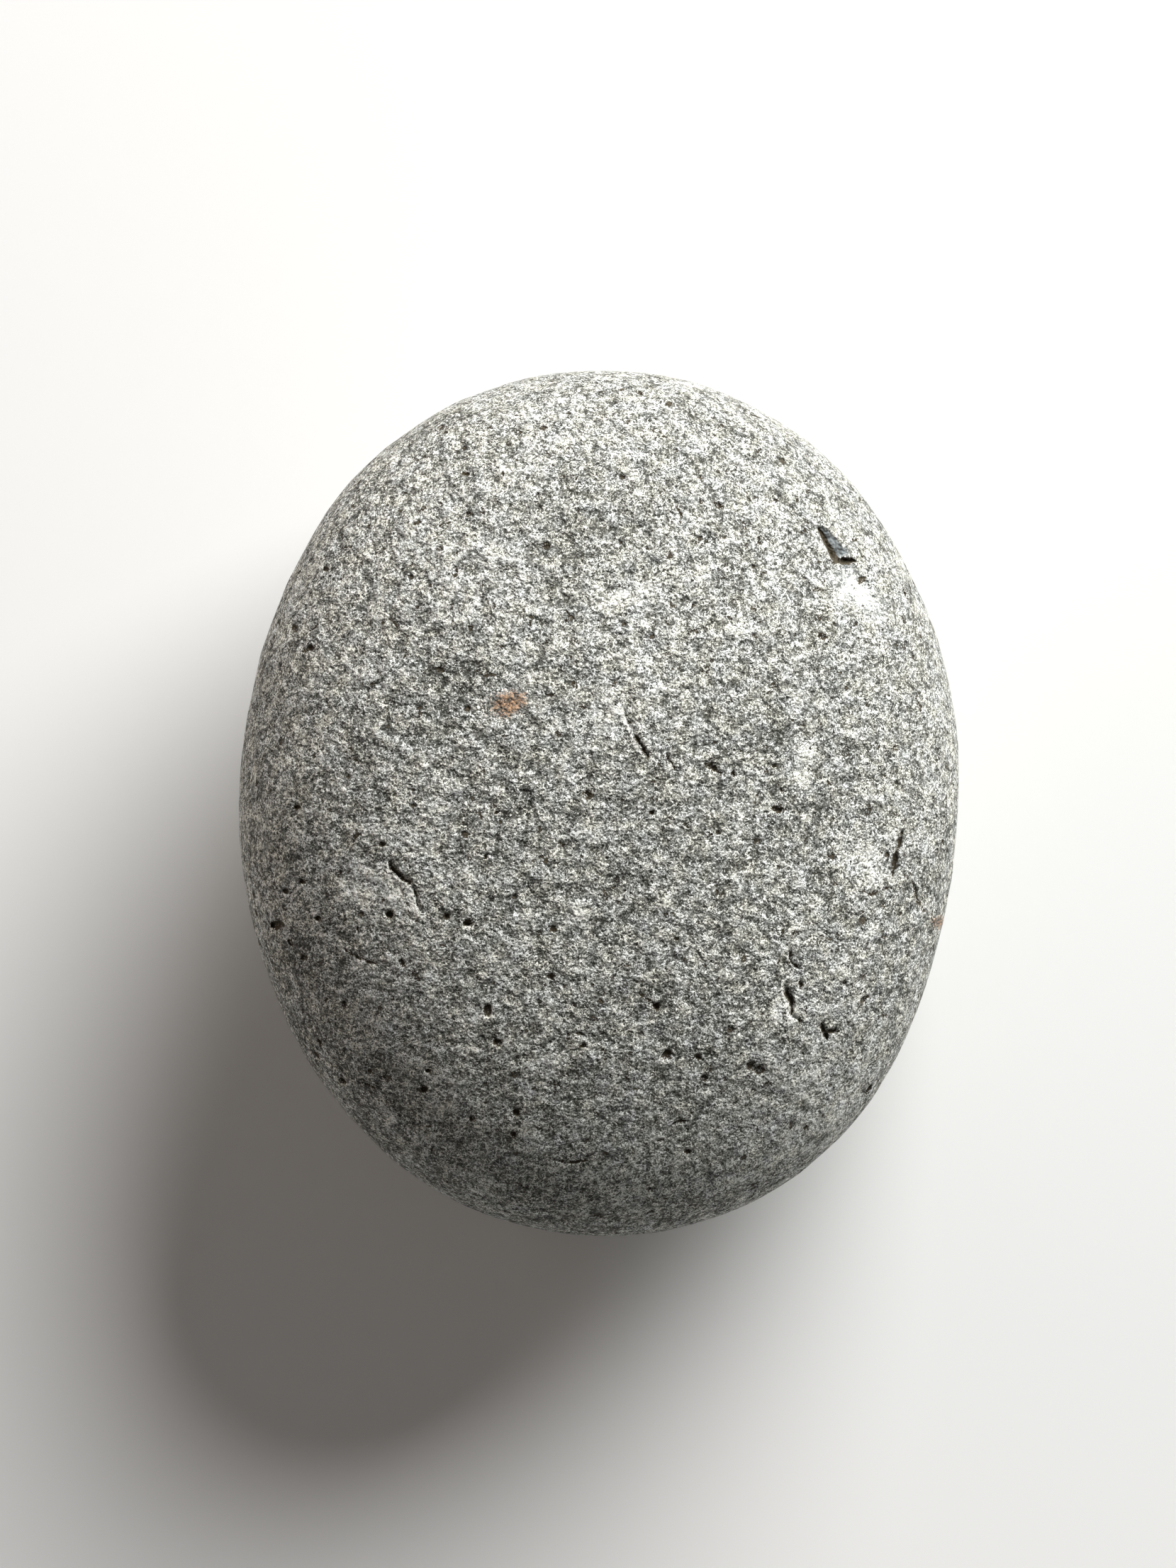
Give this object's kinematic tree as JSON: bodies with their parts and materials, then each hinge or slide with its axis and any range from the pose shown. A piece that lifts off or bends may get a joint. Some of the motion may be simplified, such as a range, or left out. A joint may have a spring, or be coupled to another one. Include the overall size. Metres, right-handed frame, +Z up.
{
  "type": "pebble",
  "caption": "Egg-shaped worn pebble of speckled grey stone, with small pits and fine cracks in its top and a small flat spot underneath that it rests on.",
  "frame": {"origin": "under the middle of the pebble, at the level of its flat rest spot", "axes": "+Z up through the broad domed face, +Y along the pebble's long axis towards its blunter end, +X across it towards the flank that slopes further"},
  "size_m": [0.0316, 0.038, 0.0201],
  "materials": {
    "stone": "matt, finely speckled, worn"
  },
  "bodies": {
    "root": {"stone": "stone"}
  },
  "joints": []
}
